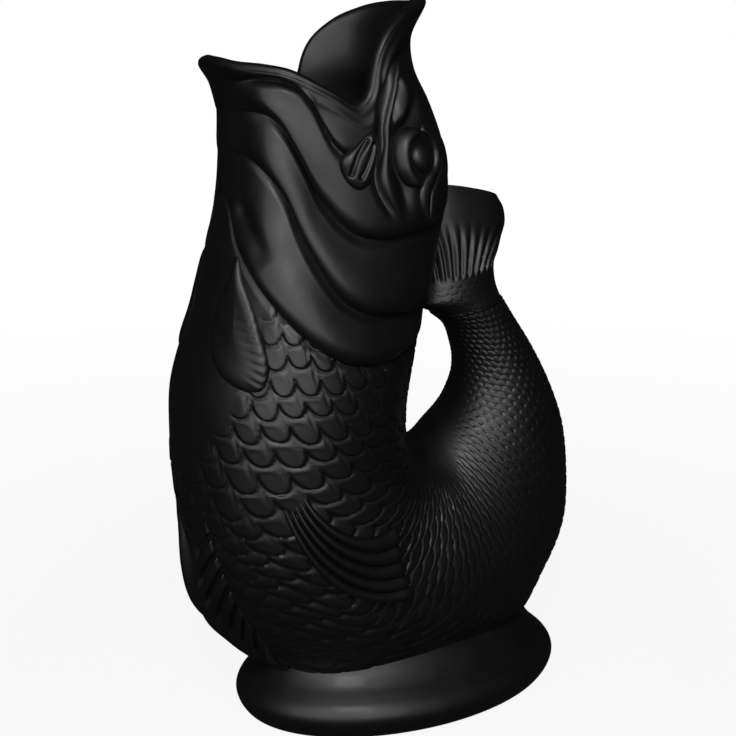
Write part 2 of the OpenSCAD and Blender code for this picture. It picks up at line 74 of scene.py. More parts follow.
def edgeAt(table, a):
    return curveAt(table, halfTurn(a))[..., 0]


def ramp(x, start, reach):  # 0 up to start, 1 from start + reach on
    return ease((x - start) / reach)


def ridge(far, width):  # 1 on a line, falling off beside it
    return np.exp(-(far / width)**2)


def between(p0, p1, p2, p3, u):  # smooth way from p1 to p2, with the points before and after them
    return 0.5 * (2 * p1 + (p2 - p0) * u + (2 * p0 - 5 * p1 + 4 * p2 - p3) * u**2
                  + (3 * p1 - p0 - 3 * p2 + p3) * u**3)


def smoothLine(points, steps=8):  # the points joined by a smooth curve
    p = np.array([points[0]] + list(points) + [points[-1]], float)
    t = np.linspace(0, 1, steps, endpoint=False)[:, None]
    parts = [between(*four, t) for four in zip(p[:-3], p[1:-2], p[2:-1], p[3:])]
    return np.vstack(parts + [p[-1:]])


def loopAt(points, t):  # closed smooth outline through a few points
    tab = np.array(points, float)
    n = len(tab)
    i = np.floor(t * n).astype(int) % n
    u = (t * n - np.floor(t * n))[..., None]
    return between(tab[(i - 1) % n], tab[i], tab[(i + 1) % n], tab[(i + 2) % n], u)


# The fish's skin: place s along it in mm, angle a round it, where 0 is the belly and 90 its left
fish = {
    "middleX": 8.5,  # mm from the middle of the foot to the origin
    "top": 250,  # height where s is 0, and s runs straight down the head from there
    # place s, back x and z, belly x and z, half width
    "stations": [
        [0, 2.5, 250, -69.5, 250, 33.5], [10, -1, 240, -70.5, 240, 33], [20, 0.5, 230, -69, 230, 31.8],
        [30, 6, 220, -66, 220, 31.6], [45, 12, 205, -65.5, 205, 32.5], [60, 14, 190, -66.5, 190, 33.5],
        [75, 11, 175, -70, 175, 35], [95, 6, 155, -76, 155, 37.5], [115, 1, 135, -82.5, 135, 39.5],
        [135, -3, 115, -85.5, 115, 41], [146, -2.5, 104, -86, 95, 41], [156, 0, 99, -84, 76, 41],
        [166, 2, 97.5, -77, 55, 40.5], [176, 3, 97, -64, 34, 39.5], [188, 4, 97, -44, 16, 38],
        [200, 5, 97, -18, 9, 36.5], [212, 6, 97.5, 13, 9.5, 35], [224, 7, 98.5, 43, 18, 32.5],
        [236, 9, 100, 59, 37, 29.5], [248, 11.5, 103, 68, 57, 26.5], [260, 15.5, 107.5, 69, 79, 23.5],
        [270, 20, 113.5, 66.5, 98, 20.5], [280, 23.5, 121, 60.5, 114, 17.5],
        [290, 23.5, 130, 52.5, 129, 15], [300, 19.5, 139, 44, 142, 13.2],
        [308, 11.5, 144.5, 38.5, 151, 12.2]],
    # edges of the lip and the plates: angle round the head, place s
    "lip": [[0, 18.5], [25, 19], [45, 19.6], [60, 21.5], [75, 26.5], [86, 30.8], [95, 27.5],
            [103, 21.5], [108, 16.5], [114, 11.5], [125, 5.5], [140, 2], [160, 0.4], [180, 0]],
    "jaw": [[0, 32], [19, 33], [32, 33.5], [40, 35], [48, 40], [56, 50], [61, 57], [69, 64],
            [80, 70], [95, 73], [115, 72], [145, 67], [180, 65]],
    "upperGill": [[0, 45], [17, 46], [27, 48], [34, 51], [47, 60], [56, 70], [69, 82], [80, 90],
                  [96, 96], [116, 98], [145, 96], [180, 94]],
    "lowerGill": [[0, 57], [12, 63], [22, 73], [40, 86], [60, 98], [76, 106], [90, 111],
                  [112, 113], [130, 110], [155, 106], [180, 104]],
    "trunkEnd": 146,
    "bellyEnd": 240,
    "handleEnd": 306,
    "wall": 4.5,
    "headRound": 0.6,  # mm in a degree round the head
}


def skinAt(s, a, off=0.0):
    s, a, off = np.broadcast_arrays(np.asarray(s, float), np.asarray(a, float), np.asarray(off, float))
    r = curveAt(fish["stations"], s)
    dx, dz = r[..., 2] - r[..., 0], r[..., 3] - r[..., 1]
    depth = np.hypot(dx, dz)
    c, n = np.cos(np.radians(a)), np.sin(np.radians(a))
    reach = c * (depth / 2 + off) / depth
    return np.stack([(r[..., 0] + r[..., 2]) / 2 + dx * reach + fish["middleX"], -(r[..., 4] + off) * n,
                     (r[..., 1] + r[..., 3]) / 2 + dz * reach], -1)


def spacing(s, a):  # mm of skin in one step of s, and in one degree of a
    along = np.linalg.norm(skinAt(s + 0.5, a) - skinAt(s - 0.5, a), axis=-1)
    around = np.linalg.norm(skinAt(s, a + 0.5) - skinAt(s, a - 0.5), axis=-1)
    return along, around


def lineAt(points, s, a):  # distance in mm to a line on the head, and the share of its length there
    line = smoothLine(points) * [1, fish["headRound"]]
    s, a = np.broadcast_arrays(s, halfTurn(a) * fish["headRound"])
    q = np.stack([s, a], -1)
    best = np.full(q.shape[:-1], 1e9)
    share = np.zeros_like(best)
    for k, (p0, p1) in enumerate(zip(line[:-1], line[1:])):
        d = p1 - p0
        t = np.clip(((q - p0) @ d) / max(d @ d, 1e-9), 0, 1)
        v = q - p0 - t[..., None] * d
        far = np.hypot(v[..., 0], v[..., 1])
        near = far < best
        best = np.where(near, far, best)
        share = np.where(near, (k + t) / (len(line) - 1), share)
    return best, share


def strokeAt(stroke, s, a):  # relief in mm of a raised or cut stroke, which runs out at its ends
    far, share = lineAt(stroke["line"], s, a)
    ends = ease(share * stroke["ends"]) * ease((1 - share) * stroke["ends"])
    return stroke["height"] * ridge(far, stroke["width"]) * ends


# Meshes: a primitive is added, its points are laid on the skin, and the shape is finished in edit mode

def dress(piece, node):
    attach(piece, "root")
    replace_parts(piece, node)
    return piece


def finishMesh(piece, name, node, merge=False, caps=False):
    piece.name = piece.data.name = name
    bpy.ops.object.mode_set(mode="EDIT")
    bpy.ops.mesh.select_all(action="SELECT")
    if merge:
        bpy.ops.mesh.remove_doubles(threshold=1e-7)
    if caps:
        bpy.ops.mesh.select_all(action="DESELECT")
        bpy.ops.mesh.select_non_manifold()
        bpy.ops.mesh.fill_holes(sides=0)
        bpy.ops.mesh.select_all(action="SELECT")
    bpy.ops.mesh.normals_make_consistent(inside=False)
    bpy.ops.object.mode_set(mode="OBJECT")
    bpy.ops.object.shade_smooth_by_angle(angle=math.radians(62))
    piece.data.materials.clear()
    piece.data.materials.append(blackGlaze)
    piece.select_set(False)
    return dress(piece, node)


def setPoints(piece, points):
    piece.matrix_world = Matrix.Identity(4)
    piece.data.vertices.foreach_set("co", (np.asarray(points) * mm).astype(np.float32).ravel())
    piece.data.update()


def layGrid(name, node, points, caps):
    bpy.ops.object.select_all(action="DESELECT")
    bpy.ops.mesh.primitive_grid_add(x_subdivisions=points.shape[1] - 1, y_subdivisions=points.shape[0] - 1)
    piece = bpy.context.object
    setPoints(piece, points)
    return finishMesh(piece, name, node, merge=True, caps=caps)


def layBar(name, node, points, caps=True):  # points[along][section], the section closed, the ends capped
    return layGrid(name, node, np.concatenate([points, points[:, :1]], 1), caps)


def layRing(name, node, points):  # points[round][section], closed both ways
    return layBar(name, node, np.concatenate([points, points[:1]], 0), caps=False)


def layBall(name, node, place):  # place(turnRound, share, top) gives the points
    bpy.ops.object.select_all(action="DESELECT")
    bpy.ops.mesh.primitive_uv_sphere_add(segments=120, ring_count=60, radius=1)
    piece = bpy.context.object
    co = np.array([v.co for v in piece.data.vertices], float)
    turnRound = np.mod(np.arctan2(co[:, 1], co[:, 0]) / (2 * math.pi), 1)
    dip = np.arccos(np.clip(co[:, 2], -1, 1)) / math.pi
    share = np.where(dip <= 0.5, dip * 2, 2 - dip * 2)
    setPoints(piece, place(turnRound, share, dip <= 0.5 + 1e-6))
    return finishMesh(piece, name, node)


def mirrored(piece, name, node):
    twin = piece.copy()
    twin.data = piece.data.copy()
    bpy.context.collection.objects.link(twin)
    twin.name = twin.data.name = name
    twin.data.transform(Matrix.Scale(-1, 4, (0, 1, 0)))
    twin.data.flip_normals()
    twin["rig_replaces"] = []  # the copy comes with its left twin's node
    return dress(twin, node)


# Material: black glaze, dipped and fired on cast earthenware. It is near black and satin, with wide
# soft highlights, small sharp ones from its outermost skin, slow waves and a fine orange peel.

def linear(hexColour):
    parts = [int(hexColour[i:i + 2], 16) / 255 for i in (1, 3, 5)]
    return [c / 12.92 if c <= 0.04045 else ((c + 0.055) / 1.055)**2.4 for c in parts] + [1]


def addNode(tree, kind, settings=None, inputs=None, links=None):
    node = tree.nodes.new(kind)
    for key, value in (settings or {}).items():
        setattr(node, key, value)
    for key, value in (inputs or {}).items():
        node.inputs[key].default_value = value
    for key, source in (links or {}).items():
        tree.links.new(source, node.inputs[key])
    return node


glaze = {
    "colour": "#0a090d",  # black glaze, a little blue
    "thinColour": "#0d0b0c",  # where it runs thin
    "toneRange": (0.35, 0.55),  # part of the waves over which the one turns to the other
    "roughness": (0.42, 0.49),  # more than a gloss glaze has, for the wide soft highlights of the photo
    "roughRange": (0.3, 0.7),
    "ior": 1.5,
    "specular": 0.58,
    "coat": 0.1,  # the outermost skin of the glaze, which gives small sharp highlights
    "coatRoughness": 0.13,
    "waveSize": 9.0,  # mm across the slow waves that firing leaves
    "waveHeight": 0.05,
    "pinSize": 0.9,  # mm across the orange peel
    "pinHeight": 0.006,
}


def makeGlaze():
    made = bpy.data.materials.new("blackGlaze")
    made.use_nodes = True
    tree = made.node_tree
    tree.nodes.clear()
    where = addNode(tree, "ShaderNodeTexCoord").outputs["Object"]
    wave = addNode(tree, "ShaderNodeTexNoise", None,
                   {"Scale": 1 / (glaze["waveSize"] * mm), "Detail": 2.0, "Roughness": 0.5},
                   {"Vector": where}).outputs["Fac"]
    peel = addNode(tree, "ShaderNodeTexNoise", None,
                   {"Scale": 1 / (glaze["pinSize"] * mm), "Detail": 1.0}, {"Vector": where}).outputs["Fac"]
    tone = addNode(tree, "ShaderNodeValToRGB", None, None, {"Fac": wave})
    for stop, place, colour in zip(tone.color_ramp.elements, glaze["toneRange"],
                                   (glaze["thinColour"], glaze["colour"])):
        stop.position = place
        stop.color = linear(colour)
    sheen = addNode(tree, "ShaderNodeMapRange", None,
                    {"From Min": glaze["roughRange"][0], "From Max": glaze["roughRange"][1],
                     "To Min": glaze["roughness"][0], "To Max": glaze["roughness"][1]}, {"Value": wave})
    slow = addNode(tree, "ShaderNodeBump", None,
                   {"Strength": 1.0, "Distance": glaze["waveHeight"] * mm}, {"Height": wave})
    fine = addNode(tree, "ShaderNodeBump", None, {"Strength": 1.0, "Distance": glaze["pinHeight"] * mm},
                   {"Height": peel, "Normal": slow.outputs["Normal"]})
    shader = addNode(tree, "ShaderNodeBsdfPrincipled", None,
                     {"IOR": glaze["ior"], "Specular IOR Level": glaze["specular"],
                      "Coat Weight": glaze["coat"], "Coat Roughness": glaze["coatRoughness"]},
                     {"Base Color": tone.outputs["Color"], "Roughness": sheen.outputs["Result"],
                      "Normal": fine.outputs["Normal"]})
    addNode(tree, "ShaderNodeOutputMaterial", None, None, {"Surface": shader.outputs["BSDF"]})
    return made


blackGlaze = makeGlaze()
print("glaze made")


# Scales: rows across the fish that fan round its bend, each scale a rounded lobe over the next row

scales = {
    # place s, mm from one row to the next on the fish's side
    "pitch": [[50, 7.3], [140, 7.3], [152, 6.8], [165, 5.8], [180, 4.8], [200, 4.2], [215, 3.6],
              [240, 3.1], [270, 2.8], [310, 2.5]],
    "step": 0.5,  # mm between the places where rows are counted
    "extra": 6,  # rows that the belly has more than the side, round the bend
    "extraPlaces": ((150, 36), (190, 46)),  # place s where they begin and end, and over how much
    "extraAngle": (45, 32),
    # place s, scales in a row
    "round": [[50, 34], [112, 33], [126, 29], [140, 25], [152, 23], [185, 25], [215, 30], [310, 34]],
    "middle": 65,  # angle from which the scales of a row are counted
    "lean": 0.3,  # share of a scale that its sides lean toward the back, per row
    # place s, height of a scale in mm
    "height": [[50, 0.65], [140, 0.85], [160, 0.85], [190, 0.7], [215, 0.5], [240, 0.4], [310, 0.34]],
    # the arch of the free edge: its width and its power for small scales, and what large ones have more
    "archWide": (0.92, 0.08),
    "archPower": (2, 0.4),
    "archDepth": 0.9,  # rows from the tip of a scale to the foot of its arch
    "tipHeight": 0.5,  # share of the height that the tip stands over the skin
    "dome": 0.07,  # share of the height that the middle of a scale is raised
    "edgeRound": 0.7,  # mm over which a free edge rounds down
    "edgeDrop": 0.45,  # share of the height that it does, and how much less of that at the corners
    "cornerDrop": 0.8,
    "groove": 0.75,  # share of the height, cut along a free edge
    "grooveWidth": 0.5,  # mm over which that cut falls off
    "swell": 0.14,  # share of the height that the scale rises again below the cut
    "swellAt": 1.3,  # mm from the edge
    "swellWidth": 0.7,
    "jitter": 0.12,  # rows that a scale may lie higher or lower
    "fall": 0.45,  # share of the height that a scale falls in each row toward its root
    "fallRows": 1.4,
    "smallPitch": (2.6, 3),  # mm from row to row up to which scales are small, and over how much
    "finePitch": 5,  # mm from row to row below which the edges are drawn finer
    "soft": 0.22,  # mm over which the glaze blurs an edge
    # smooth front of the trunk: place s, angle where the scales begin
    "bare": [[50, 50], [90, 46], [120, 42], [132, 36], [140, 16], [148, -8], [310, -8]],
    # smooth inner side of the tail: place s, angle where the scales end
    "inner": [[50, 190], [170, 190], [188, 170], [205, 151], [222, 146], [240, 156], [256, 162],
              [268, 168], [282, 178], [310, 190]],
    "fadeIn": 7,  # degrees over which they begin and end
    "fadeOut": 22,
    "startSink": 0.6,  # mm that the uppermost scales lie lower, and over how much of s
    "startReach": 3,
}
rowPlaces = np.arange(40, 316, scales["step"])
rowSize = curveAt(scales["pitch"], rowPlaces)[:, 0]
rowCount = np.cumsum(scales["step"] * spacing(rowPlaces, 90)[0] / rowSize)
# the nine places that are averaged where the glaze blurs an edge, with their weights
blur = [(ds, da, (2 - abs(ds)) * (2 - abs(da)) / 16) for ds in (0, 1, -1) for da in (0, 1, -1)]


def scaleRow(s, a):  # number of rows from the head down
    begin, finish = scales["extraPlaces"]
    more = (ramp(s, *begin) - ramp(s, *finish)) * (1 - ramp(halfTurn(a), *scales["extraAngle"]))
    return np.interp(s, rowPlaces, rowCount) + scales["extra"] * more


def hashOf(row, column):  # a steady chance value from 0 to 1 for each scale
    v = np.sin(row * 127.1 + column * 311.7) * 43758.5453
    return v - np.floor(v)


def lobes(v, u, pitch, width, height):  # relief in mm at row v and column u
    first = np.floor(v)
    done = np.zeros(v.shape, bool)
    off, above, crown = np.zeros(v.shape), np.full(v.shape, 9.0), np.zeros(v.shape)
    large = ramp(pitch, *scales["smallPitch"])
    wide = scales["archWide"][0] + scales["archWide"][1] * large
    power = scales["archPower"][0] + scales["archPower"][1] * large
    fine = np.minimum(1, pitch / scales["finePitch"])
    for step in (0, 1, 2):
        row = first + step
        place = u + 0.5 * np.mod(row, 2) + scales["lean"] * (row - v)
        column = np.floor(place)
        x = 2 * (place - column) - 1
        shift = (hashOf(row, column) - 0.5) * 2 * scales["jitter"]
        tip = row + shift
        # the free edge is a round arch, slope is its steepness and far is the distance in mm to it
        curve = np.sqrt(np.clip(1 - np.abs(wide * x)**power, 0, 1))
        rim = tip - (1 - curve) * (scales["archDepth"] + shift)
        slope = 2.2 * np.abs(x)**1.4 / np.maximum(curve, 0.14) * pitch / width
        far = (rim - v) * pitch / np.sqrt(1 + slope**2)
        inside = ~done if step == 2 else (far >= 0) & ~done
        # the scale falls toward its root, with a small dome and a rounded edge
        depth = (tip - v) * large + 0.8 * (rim - v) * (1 - large)
        lift = height * (scales["tipHeight"] - scales["fall"] * np.clip(depth, 0, scales["fallRows"]))
        lift = lift + height * scales["dome"] * (1 - x**2) * ease((tip - v) * 1.5) * large
        edge = np.clip(1 - far / scales["edgeRound"] / fine, 0, 1)
        drop = scales["edgeDrop"] * height * (1 - np.sqrt(1 - edge**2))
        lift = lift - drop * (1 - scales["cornerDrop"] * np.abs(x)**3)
        # below the edge of the scale above it comes a groove, then a low swell
        lift = lift - scales["groove"] * height * ridge(above / fine, scales["grooveWidth"])
        swell = ridge(above / fine - scales["swellAt"], scales["swellWidth"])
        lift = lift + scales["swell"] * height * crown * swell
        off = np.where(inside, lift, off)
        done = done | inside
        nearer = ~inside & ~done & (-far < above)
        above, crown = np.where(nearer, -far, above), np.where(nearer, 1 - x**2, crown)
    return off


def scaleOff(s, a):
    s, a = np.broadcast_arrays(np.asarray(s, float), np.asarray(a, float))
    along, around = spacing(s, a)
    height = curveAt(scales["height"], s)[..., 0]
    off = 0
    for ds, da, weight in blur:
        s1, a1 = s + ds * scales["soft"] / along, a + da * scales["soft"] / around
        row = scaleRow(s1, a1)
        pitch = along / np.maximum(scaleRow(s1 + 0.5, a1) - scaleRow(s1 - 0.5, a1), 1e-3)
        count = curveAt(scales["round"], s1)[..., 0] / 360
        column = (halfTurn(a1) - scales["middle"]) * count
        off = off + weight * lobes(row, column, pitch, around / count / 2, height)
    shown = ramp(halfTurn(a), curveAt(scales["bare"], s)[..., 0], scales["fadeIn"])
    return off * shown * ease((curveAt(scales["inner"], s)[..., 0] - halfTurn(a)) / scales["fadeOut"])


# Body walls

# small corrections to the skin: place s, its reach, angle, its reach, mm
trims = [
    [99, 13, 0, 40, -1.9], [148, 12, 0, 35, -1.3], [234, 9, 0, 50, -1.2], [158, 8, 0, 40, -1.2],
    [278, 26, 0, 60, 1.0], [294, 10, 180, 50, 1.4], [266, 10, 180, 50, -1.2], [104, 14, 180, 60, -0.9]]


def trimOff(s, a):
    return sum(high * np.exp(-((s - s0) / sReach)**2 - ((halfTurn(a) - a0) / aReach)**2)
               for s0, sReach, a0, aReach, high in trims)


plates = {
    "step": 3.0,  # mm that a plate's lower edge stands proud
    "riseStart": 0.08,  # where on its rise a plate is at its upper edge, and how fast it goes on
    "riseRate": 1.25,
    "turn": 5.5,  # mm over which that edge rounds down
    "turnPower": 2.2,
    "sink": 1.2,  # mm that the rounded edge goes into the plate below
    "tuck": 1.0,  # mm that a plate's upper end lies lower, under the edge above it
    "tuckReach": 3.5,
    "frontFade": (20, 24),  # angle where the plates flatten out at the front, and over how much
    "frontLeast": 0.1,
    "backFade": (125, 30),  # the same where they run out in the neck
    # a soft dent on the lower plate, as a stroke
    "dent": {"line": [[60, 19], [66, 27], [73, 37], [80, 46]], "height": -1.1, "width": 2.6, "ends": 4},
}


def plateOff(s, a, top, low):  # relief of a plate between its upper and its lower edge
    angle = halfTurn(a)
    fade = 1 - ramp(angle, *plates["backFade"])
    fade = fade * (plates["frontLeast"] + (1 - plates["frontLeast"]) * ramp(angle, *plates["frontFade"]))
    rise = ease((s - top) / (low - top) * plates["riseRate"] + plates["riseStart"])
    off = plates["step"] * rise * fade
    edge = np.clip(1 - (low - s) / plates["turn"], 0, 1)
    down = 1 - np.sqrt(np.clip(1 - edge**plates["turnPower"], 0, 1))
    off = off - (off + plates["sink"] * fade) * down
    return off - plates["tuck"] * fade * (1 - ramp(s, top, plates["tuckReach"])) + trimOff(s, a)


lip = {
    # angle, mm that the rim stands above the CAD rim
    "raise": [[0, 2.6], [12, 2.2], [30, 1.0], [60, 0.7], [88, 0.4], [110, 1.0], [130, 2.2], [150, 3.0],
              [180, 2.2]],
    "crest": 2.2,  # mm that the rim's half circle rises across the wall
    # angle, mm that the rounded rim stands out
    "roll": [[0, 1.8], [25, 2.0], [45, 2.5], [74, 2.6], [100, 2.1], [130, 1.9], [180, 1.4]],
    # angle, place s of the crease where the rounded rim ends
    "crease": [[0, 24.5], [22, 24], [41.5, 23.5], [54.5, 25], [60.5, 28], [64, 32], [67, 37.5],
               [70.5, 42.5], [74.5, 45.5], [80, 46], [86, 45], [91, 41.5], [97, 33], [108.5, 25],
               [118.5, 18.5], [136, 12.5], [180, 9]],
    # share of the way to the crease at which the roll is highest, what it is more at the corner of
    # the mouth, and the angles where that begins and ends
    "highAt": 0.3,
    "highMore": 0.1,
    "highFrom": (72, 12),
    "highTo": (128, 20),
    "rollPower": 2.5,
    # at the corner of the mouth the crease dips away, and the rim is a bead over a flat shelf
    "shelfFrom": (6, 7),  # mm between rim and crease where the shelf begins, and over how much
    "beadAt": 1.6,  # mm from the rim's start
    "beadSides": (2.0, 3.4),  # mm to its upper and to its lower side
    "beadShare": 0.45,
    "shelfShare": 0.58,
    "shelfPower": 6,
    "creaseFrom": (18, 22),  # angle where the crease begins, and over how much
    "creaseTo": (134, 14),
    "creaseDepth": 0.9,
    "creaseSides": (0.7, 1.3),  # mm to its upper and to its lower side
    "creaseSquare": (0.8, 0.3),  # mm straight across it in one mm of s, and what it is less when steep
    "creaseSteep": (46, 20),  # angle where it gets steep, and over how much
}

# strokes on the jaw, with the points s, a of their lines, their height and width in mm, and how fast
# their ends rise: the groove behind the upper lip, the strand behind the cheek ridge, the groove between
# the two, and the hollow before the eye
jawStrokes = [
    {"line": [[12.5, 131], [18.5, 118.5], [25, 108], [32, 98], [37.5, 94], [42, 92.5], [49, 90],
              [54, 88.5], [59, 90.5], [64.5, 95.5], [67.5, 100.5]],
     "height": -1.8, "width": 1.1, "ends": 4},
    {"line": [[21, 126], [27, 119], [33.5, 111], [38.5, 105.5]],
     "height": 1.1, "width": 1.5, "ends": 3},
    {"line": [[22, 120], [25, 116.5], [30, 109], [34.5, 104.5], [38, 101.5]],
     "height": -0.9, "width": 0.8, "ends": 4},
    {"line": [[22, 133], [28.5, 125], [34.5, 116], [40, 105], [45.5, 100.5], [51, 99.5], [57, 102],
              [63, 104], [67, 107]],
     "height": -1.9, "width": 2.0, "ends": 4},
]


def rimAt(a):  # place s where the rounded rim begins
    return edgeAt(fish["lip"], a) + lip["crest"] - edgeAt(lip["raise"], a)


def lipOff(s, a):  # the rim rolls outward over a crease that fades at the front and the back
    angle = halfTurn(a)
    rim, end = rimAt(a), edgeAt(lip["crease"], a)
    t = (s - rim) / (end - rim)
    sharp = ramp(angle, *lip["creaseFrom"]) * (1 - ramp(angle, *lip["creaseTo"]))
    corner = ramp(angle, *lip["highFrom"]) * (1 - ramp(angle, *lip["highTo"]))
    high = lip["highAt"] + lip["highMore"] * corner
    bow = np.where(t < high, (high - t) / (high + 0.14), (t - high) / (1 - high))
    roll = np.sqrt(np.clip(1 - np.clip(bow, 0, 1)**lip["rollPower"], 0, 1))
    wide = ramp(end - rim, *lip["shelfFrom"])
    above, below = lip["beadSides"]
    bead = ridge(s - rim - lip["beadAt"], np.where(s - rim < lip["beadAt"], above, below))
    shelf = np.sqrt(np.clip(1 - np.clip(t, 0, 1)**lip["shelfPower"], 0, 1))
    roll = roll * (1 - wide) + (lip["beadShare"] * bead + lip["shelfShare"] * shelf) * wide
    # at the front and the back, where there is no crease, the roll just runs out
    plain = 1 - ease(t * 0.75 + 0.1)
    roll = edgeAt(lip["roll"], a) * (roll * sharp + plain * (1 - sharp))
    far = (s - end) * (lip["creaseSquare"][0] - lip["creaseSquare"][1] * ramp(angle, *lip["creaseSteep"]))
    above, below = lip["creaseSides"]
    return roll - lip["creaseDepth"] * sharp * ridge(far, np.where(far < 0, above, below))


def jawOff(s, a):
    off = plateOff(s, a, rimAt(a) + 2, edgeAt(fish["jaw"], a)) + lipOff(s, a)
    return off + sum(strokeAt(stroke, s, a) for stroke in jawStrokes)


def wallRing(name, node, top, low, outer, rows, columns=400):
    # the outer side runs down from top to low, and the inner side runs back up
    a = np.arange(columns) * 360 / columns
    s0, s1 = top(a)[:, None], low(a)[:, None]
    down = s0 + (s1 - s0) * np.linspace(0, 1, rows)
    outside = skinAt(down, a[:, None], outer(down, a[:, None]))
    up = s0 + (s1 - s0) * np.linspace(1, 0, rows // 8)
    inside = skinAt(up, a[:, None], -fish["wall"])
    return layRing(name, node, np.concatenate([outside, inside], 1))


def jawShell(name, node, a0, a1, columns=440, rows=110):
    a = np.linspace(a0, a1, columns)
    rim, low = rimAt(a)[:, None], edgeAt(fish["jaw"], a)[:, None]
    # rows lie closer together at the rim
    up = rim + (low - rim) * np.linspace(1, 0, rows)**1.2
    outside = skinAt(up, a[:, None], jawOff(up, a[:, None]))
    # the rim turns over in a half circle across the wall
    turn = np.radians(np.linspace(0, 180, 13))[None, 1:-1]
    top = jawOff(rim[:, 0], a)[:, None]
    half = fish["wall"] / 2
    over = skinAt(rim - lip["crest"] * np.sin(turn), a[:, None], top - half + half * np.cos(turn))
    share = np.linspace(0, 1, rows // 2)**1.2
    inside = skinAt(rim + (low - rim) * share, a[:, None], top * (1 - ease(share * 3)) - fish["wall"])
    return layBar(name, node, np.concatenate([outside, over, inside], 1))


def edgeLine(key):
    return lambda a: edgeAt(fish[key], a)


def level(key):
    return lambda a: np.full(np.shape(a), float(fish[key]))


def bodyOff(s, a):
    return scaleOff(s, a) + trimOff(s, a)


def trunkOff(s, a):  # the scales start a little lower, under the edge of the plate
    begun = ramp(s, edgeAt(fish["lowerGill"], a), scales["startReach"])
    return bodyOff(s, a) - scales["startSink"] * (1 - begun)


def upperGillOff(s, a):
    return plateOff(s, a, edgeAt(fish["jaw"], a), edgeAt(fish["upperGill"], a))


def lowerGillOff(s, a):
    off = plateOff(s, a, edgeAt(fish["upperGill"], a), edgeAt(fish["lowerGill"], a))
    return off + strokeAt(plates["dent"], s, a)


wallRing("trunkScales", "trunk_shell", edgeLine("lowerGill"), level("trunkEnd"), trunkOff, 190)
wallRing("bellyScales", "belly_shell", level("trunkEnd"), level("bellyEnd"), bodyOff, 220)
wallRing("tailScales", "tail_handle", level("bellyEnd"), level("handleEnd"), bodyOff, 200)
print("scaled body made")

wallRing("upperGillPlate", "upper_gill_plate", edgeLine("jaw"), edgeLine("upperGill"), upperGillOff, 60)
wallRing("lowerGillPlate", "lower_gill_plate", edgeLine("upperGill"), edgeLine("lowerGill"), lowerGillOff,
         60)
jawShell("lowerJaw", "lower_jaw", -90, 90)
jawShell("upperJaw", "upper_jaw", 90, 270)
print("head made")


# Foot: an oval plinth turned from a ring, with a rounded standing edge and a recess

foot = {
    "length": 129,
    "width": 83,
    # inset from the widest line, height
    "profile": [[60, 3.5], [22, 3.5], [13, 3.4], [11.4, 2.6], [10.8, 0.8], [10, 0], [7, 0], [5.2, 0.4],
                [3.2, 1.8], [1.4, 4.2], [0.3, 6.8], [0, 9], [0.6, 11.2], [2.2, 13.6], [4.6, 15.9],
                [7.2, 18.2], [9.4, 20.8], [11, 23.2], [12.2, 25.6], [13.2, 28], [15.5, 29.2], [24, 29.4],
                [36, 29.4]],
}


def makeFoot():
    columns = 192
    rows = np.maximum(smoothLine(foot["profile"], 4), 0)
    turn = np.radians(np.arange(columns) * 360 / columns)[:, None]
    x = (foot["length"] / 2 - rows[:, 0]) * np.cos(turn) + fish["middleX"]
    y = np.maximum(foot["width"] / 2 - rows[:, 0], 0.4) * np.sin(turn)
    z = np.broadcast_to(rows[:, 1], x.shape)
    points = np.stack([x, y, z], -1)
    return layGrid("footRing", "foot", np.concatenate([points, points[:1]], 0), True)


makeFoot()
print("foot made")


# Details on the head and body: pads, ridges and fins

def layPad(name, node, outline, height, base, power=2.6, carve=None):
    # a cushion on the surface that base gives, sunk a little into it, with a slightly hollow underside
    middle = np.mean(np.array(outline, float), 0)
    sink, hollow = 0.7, 0.3

    def place(turnRound, share, top):
        r = np.sin(share * math.pi / 2)
        sa = middle + (loopAt(outline, turnRound) - middle) * r[:, None]
        dome = -sink + (height + sink) * np.sqrt(np.clip(1 - r**power, 0, 1))
        if carve:
            dome = dome + carve(sa[:, 0], sa[:, 1], r)
        off = np.where(top, dome, -sink - hollow * (1 - r))
        return skinAt(sa[:, 0], sa[:, 1], base(sa[:, 0], sa[:, 1]) + off)

    return layBall(name, node, place)


eye = {
    "outline": [[43, 114.5], [44.5, 110], [47.5, 107.5], [50.5, 108.5], [52.5, 112], [51.5, 116],
                [49, 119], [45, 118.5]],
    "ball": 2.3,  # mm that the eyeball stands out
    # eyelid: share from its upper to its lower end, s and a of its outer and inner edge
    "lidOuter": [[0, 38.5, 117], [0.15, 38, 111], [0.3, 40, 105], [0.5, 46, 100], [0.68, 52, 100],
                 [0.84, 56.5, 104], [1, 57, 110.5]],
    "lidInner": [[0, 40.5, 117], [0.15, 41.5, 112.5], [0.3, 43.5, 109], [0.5, 47, 107], [0.68, 51, 107.5],
                 [0.84, 53, 110], [1, 54.5, 113.5]],
    "lidHeight": 2.6,
}


